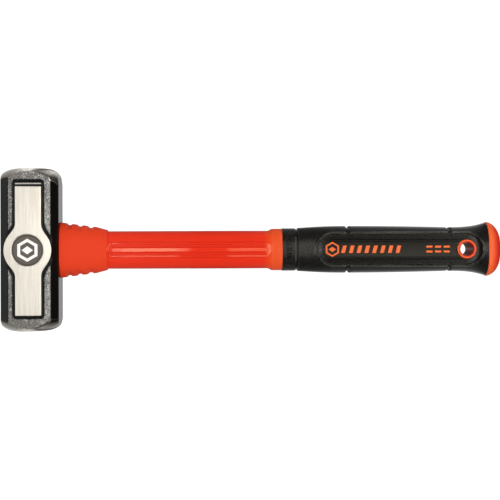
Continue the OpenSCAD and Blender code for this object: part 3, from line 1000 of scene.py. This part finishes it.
def bored(obj, radius, centre_z, length):
    """Cuts a round hole through an object along Y."""
    bpy.ops.mesh.primitive_cylinder_add(
        vertices=96, radius=radius * MM, depth=length * MM, location=(0, 0, centre_z * MM),
        rotation=(math.pi / 2, 0, 0),
    )
    cutter = bpy.context.active_object
    change = obj.modifiers.new("hole", "BOOLEAN")
    change.operation, change.solver, change.object = "DIFFERENCE", "EXACT", cutter
    shaped = bpy.data.meshes.new_from_object(obj.evaluated_get(bpy.context.evaluated_depsgraph_get()))
    obj.modifiers.clear()
    obj.data = shaped
    bpy.data.objects.remove(cutter)
    obj.data.set_sharp_from_angle(angle=SHARP)


def make_grip():
    """The soft sleeve, with its pockets, notches and lanyard hole."""
    heights = np.concatenate([[GROOVE_Z0, GRIP_Z0 - BREAK], stations(GRIP_Z0, CAP_Z0, 0.42, NECK_ROUND)])
    grip = loft("grip_skin", heights, grip_section, 270, grip_relief, UNDER, BEAD_R)
    bored(grip, BUSH_R + 0.02, HOLE_Z, 60)
    x, _, z = points_mm(grip)
    note(grip, "shine", smooth_step(1.2, 0.7, np.abs(oblong_reach(x, z) - BEAD_R)))
    fit(grip, "grip_sleeve", "grip_rubber")


def panel_dish(x):
    """How far the panel's face is hollowed below its rim."""
    return 0.24 * (1 - (x / PANEL_R) ** 2)


def panel_field(x, y, z):
    """A slightly hollow plate with a fine raised border and shallow seats for the marks."""
    border_t, below_top, bush_gap, end_z = 0.16, 0.12, 0.8, HOLE_Z - 3.6
    reach = oblong_reach(x, z) - PANEL_R
    border = border_t * smooth_step(0.85, 0.45, np.abs(reach + 0.5))
    top = PANEL_TOP - below_top - panel_dish(x) + border
    plate = meet(reach, np.abs(y) - top, 0.35)
    plate = np.maximum(plate, PANEL_FOOT - np.abs(y))
    plate = np.maximum(plate, BUSH_R + bush_gap - np.hypot(x, z - HOLE_Z))
    plate = np.maximum(plate, z - end_z)
    marks = np.minimum(emblem(x, z - EMBLEM_Z, EMBLEM_R, EMBLEM_LINE), np.minimum(bars(x, z), ticks(x, z)))
    return np.maximum(plate, -np.maximum(marks, PANEL_TOP - MARK_T - np.abs(y)))


def make_panel(name):
    low, high = box_mm(f"grip_panel_{name}")
    panel = surface_net(f"panel_{name}", panel_field, low, high, 0.28)
    fit(panel, f"grip_panel_{name}", "panel_plastic")


def make_mark(kind, name, outline):
    """One inlaid mark: its plan, soft at the top edge and seated in the panel."""
    def field(x, y, z):
        below_top = 0.06
        top = PANEL_TOP - below_top - panel_dish(x)
        return np.maximum(meet(outline(x, z), np.abs(y) - top, 0.18), PANEL_TOP - MARK_T - np.abs(y))

    low, high = box_mm(f"grip_{kind}_{name}")
    mark = surface_net(f"{kind}_{name}", field, low, high, 0.2)
    fit(mark, f"grip_{kind}_{name}", "mark_plastic")


def bush_outline():
    """Closed section of the lanyard tube, as [radius, Y]: rounded outside, eased and slightly ribbed inside."""
    lip, ease, rib, rib_pitch, half = 0.55, 1.0, 0.04, 1.4, BUSH_Y
    outline = [(BUSH_R, 0.0), (BUSH_R, half - lip)]
    for a in np.linspace(0.2, 1.57, 6):
        outline.append((BUSH_R - lip + lip * math.cos(a), half - lip + lip * math.sin(a)))
    for a in np.linspace(0, 1.57, 7):
        outline.append((BORE_R + ease - ease * math.sin(a), half - ease + ease * math.cos(a)))
    for i in range(7):
        outline.append((BORE_R + rib * math.cos(i * math.pi), half - ease - rib_pitch * (i + 1)))
    outline.append((BORE_R, 0.0))
    return outline + [(r, -y) for r, y in outline[::-1][1:-1]]


def make_bush():
    """The lanyard tube, turned about Y."""
    outline = bush_outline()
    turns = np.linspace(0, 2 * math.pi, 96, endpoint=False)
    points = [[r * math.cos(a), y, HOLE_Z + r * math.sin(a)] for a in turns for r, y in outline]
    count, faces = len(outline), []
    for i in range(len(turns)):
        a, b = i * count, (i + 1) % len(turns) * count
        for j in range(count):
            beside = (j + 1) % count
            faces.append([a + j, a + beside, b + beside, b + j])
    bush = mesh_object("lanyard_tube", points, faces)
    bush.data.set_sharp_from_angle(angle=SHARP)
    x, _, z = points_mm(bush)
    note(bush, "bore_reach", np.hypot(x, z - HOLE_Z) - BORE_R)
    fit(bush, "lanyard_bush", "bush_plastic")


POST = (10.0, 6.0, 2.6)  # Half sizes and corner power of the cap's hidden post


def make_cap():
    """The domed butt cap on its post."""
    lip, half_x, half_y, least = 1.1, 18.95, 15.35, 0.02
    widest_z = CAP_Z0 + lip
    dome_h = CAP_Z1 - widest_z

    def section(z):
        if z < CAP_Z0:
            return POST
        if z < widest_z:
            t = (widest_z - z) / lip
            return half_x - 0.55 * t ** 2, half_y - 0.4 * t ** 2, 2.4
        rise = clamp01((z - widest_z) / dome_h)
        swing = float(np.cos(np.arcsin(rise ** 0.8)) ** 0.62)
        return max(half_x * swing, least), max(half_y * swing, least), 2.4 - 0.4 * float(rise)

    dome = [widest_z + dome_h * math.sin(a) ** 1.25 for a in np.linspace(0.06, math.pi / 2, 40)]
    heights = np.concatenate([[POST_Z0, CAP_Z0 - BREAK], np.linspace(CAP_Z0, widest_z, 6), dome])
    cap = loft("butt_cap", heights, section, 200)
    note(cap, "dome_rise", clamp01((points_mm(cap)[2] - CAP_Z0) / (CAP_Z1 - CAP_Z0)))
    fit(cap, "end_cap", "cap_plastic")


# ---- Stage: floor, light and camera ----

# The world's light: from, to, strength at the first, strength at the second
WORLD_AROUND = (-0.8, -0.1, 0.08, 0.95)  # By Y
WORLD_RISE = (0.02, 0.14, 0.10, 1.0)  # By Z, near the floor
WORLD_OVER = (0.25, 0.70, 1.0, 0.06)  # By Z, overhead
RUNNER = (5.0, 0.9)  # Strength of the bright strip of floor, in front of the hammer and under it
STRIP_GLOW, STRIP_COLOUR = 3.4, (1.0, 0.93, 0.70)


def make_floor():
    """White to the camera. To the hammer it glows: a pool, dimmer in front, with a bright strip up the middle."""
    bpy.ops.mesh.primitive_plane_add(size=30, location=(0, 0, -0.00005))
    floor = bpy.context.active_object
    floor.name = "studio_floor"
    look = Look("floor_white", (0.30, 0.30, 0.30), Roughness=0.9, Emission_Color=(1, 1, 1, 1))
    split = look.add("SeparateXYZ")
    look.feed(split.inputs[0], look.place)
    x, y = split.outputs["X"], split.outputs["Y"]
    far = look.maths("SQRT", look.plus(look.maths("POWER", x, 2.0), look.maths("POWER", y, 2.0)))
    pool = look.step(far, 0.30, 0.50, 0.80, 0.10)
    near = look.maths("MINIMUM", pool, look.step(y, -0.14, -0.04, 0.06, 0.80))
    across = look.step(look.maths("ABSOLUTE", x), 0.10, 0.07)
    runner = look.times(across, look.step(y, -0.50, -0.30, *RUNNER))
    seen = look.add("LightPath").outputs["Is Camera Ray"]
    glow = look.maths("MAXIMUM", near, runner)
    look.set("Emission Strength", look.maths("MAXIMUM", glow, seen))
    wear(floor, look)


def make_world():
    """Pale surroundings: white behind the hammer, greyer at the sides and in front, dark overhead."""
    world = bpy.data.worlds.new("studio")
    bpy.context.scene.world = world
    world.use_nodes = True
    tree = world.node_tree
    tree.nodes.clear()

    def add(kind):
        return tree.nodes.new("ShaderNode" + kind)

    def ramp(source, *numbers):
        node = add("MapRange")
        node.interpolation_type = "SMOOTHSTEP"
        tree.links.new(source, node.inputs["Value"])
        for key, number in zip(("From Min", "From Max", "To Min", "To Max"), numbers):
            node.inputs[key].default_value = number
        return node.outputs[0]

    split = add("SeparateXYZ")
    tree.links.new(add("TexCoord").outputs["Generated"], split.inputs[0])
    glow = ramp(split.outputs["Y"], *WORLD_AROUND)
    for part in (ramp(split.outputs["Z"], *WORLD_RISE), ramp(split.outputs["Z"], *WORLD_OVER)):
        both = add("Math")
        both.operation = "MULTIPLY"
        tree.links.new(glow, both.inputs[0])
        tree.links.new(part, both.inputs[1])
        glow = both.outputs[0]
    light, shown = add("Background"), add("Background")
    for shade in (light, shown):
        shade.inputs["Color"].default_value = (1, 1, 1, 1)
    tree.links.new(glow, light.inputs["Strength"])
    shown.inputs["Strength"].default_value = 1.1
    pick = add("MixShader")
    tree.links.new(add("LightPath").outputs["Is Camera Ray"], pick.inputs[0])
    tree.links.new(light.outputs[0], pick.inputs[1])
    tree.links.new(shown.outputs[0], pick.inputs[2])
    tree.links.new(pick.outputs[0], add("OutputWorld").inputs[0])


def make_softbox(name, place, aim, wide, tall, glow, colour=(1, 1, 1)):
    """A rectangular light at a place, in metres, turned to a point, with that radiance."""
    data = bpy.data.lights.new(name, "AREA")
    data.shape, data.size, data.size_y = "RECTANGLE", wide, tall
    data.energy, data.color = glow * math.pi * wide * tall, colour
    lamp = bpy.data.objects.new(name, data)
    lamp.location = place
    lamp.rotation_euler = (Vector(aim) - Vector(place)).to_track_quat("-Z", "Y").to_euler()
    lamp.visible_camera = False
    bpy.context.scene.collection.objects.link(lamp)


def make_camera():
    """Looks along +Y at the cheek from 0.8 m, rolled so that the handle points right."""
    data = bpy.data.cameras.new("camera")
    data.sensor_width, data.lens = 36, 81.7
    data.shift_x, data.shift_y = 0.102, -0.0005
    camera = bpy.data.objects.new("camera", data)
    view = Matrix(((0, -1, 0), (0, 0, -1), (1, 0, 0))).to_4x4()
    lean = Matrix.Rotation(math.radians(-0.17), 4, "Z")
    camera.matrix_world = Matrix.Translation((0.0, -0.8, 0.138)) @ view @ lean
    bpy.context.scene.collection.objects.link(camera)
    bpy.context.scene.camera = camera


# ---- Put it together ----

# One material for each slot
LOOKS = {
    "head_steel": head_look(),
    "badge_steel": badge_look(),
    "jacket_plastic": shell_look(),
    "guard_rubber": moulded_look("guard_rubber", (0.88, 0.056, 0.011), (0.79, 0.043, 0.009), 0.60, 0.35, 0.05),
    "grip_rubber": leather_look(
        "grip_rubber", (0.004, 0.0038, 0.003), (0.009, 0.0085, 0.007), 0.26, 0.9, 0.06, 0.32
    ),
    "panel_plastic": leather_look(
        "panel_plastic", (0.005, 0.0048, 0.004), (0.010, 0.0095, 0.008), 0.24, 0.5, 0.03, 0.20
    ),
    "mark_plastic": moulded_look("mark_plastic", (0.98, 0.19, 0.045), (0.92, 0.16, 0.038), 0.45, 0.3, 0.01),
    "bush_plastic": bush_look(),
    "cap_plastic": cap_look(),
}

make_camera()
make_floor()
make_world()
make_softbox("strip_low", (-0.095, -1.2, 0.052), (-0.095, 0, 0.052), 0.23, 0.096, STRIP_GLOW, STRIP_COLOUR)
make_softbox("strip_high", (-0.095, -1.2, 0.52), (-0.095, 0, 0.52), 0.23, 0.66, STRIP_GLOW, STRIP_COLOUR)
make_softbox("above", (0, -1.49, 1.51), (0, 0, 0.17), 2.7, 1.4, 2.7)

make_head()
make_jacket()
make_guard()
make_collar()
make_grip()
make_bush()
make_cap()
for side_name in ("front", "back"):
    make_badge(side_name)
    make_panel(side_name)
    make_mark("emblem", side_name, lambda x, z: emblem(x, z - EMBLEM_Z, EMBLEM_R, EMBLEM_LINE))
    make_mark("bars", side_name, bars)
    make_mark("ticks", side_name, ticks)

wear(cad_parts["eye_epoxy"], resin_look())
wear(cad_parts["fiberglass_core"], strand_look())

bpy.context.scene.view_settings.view_transform = "Standard"
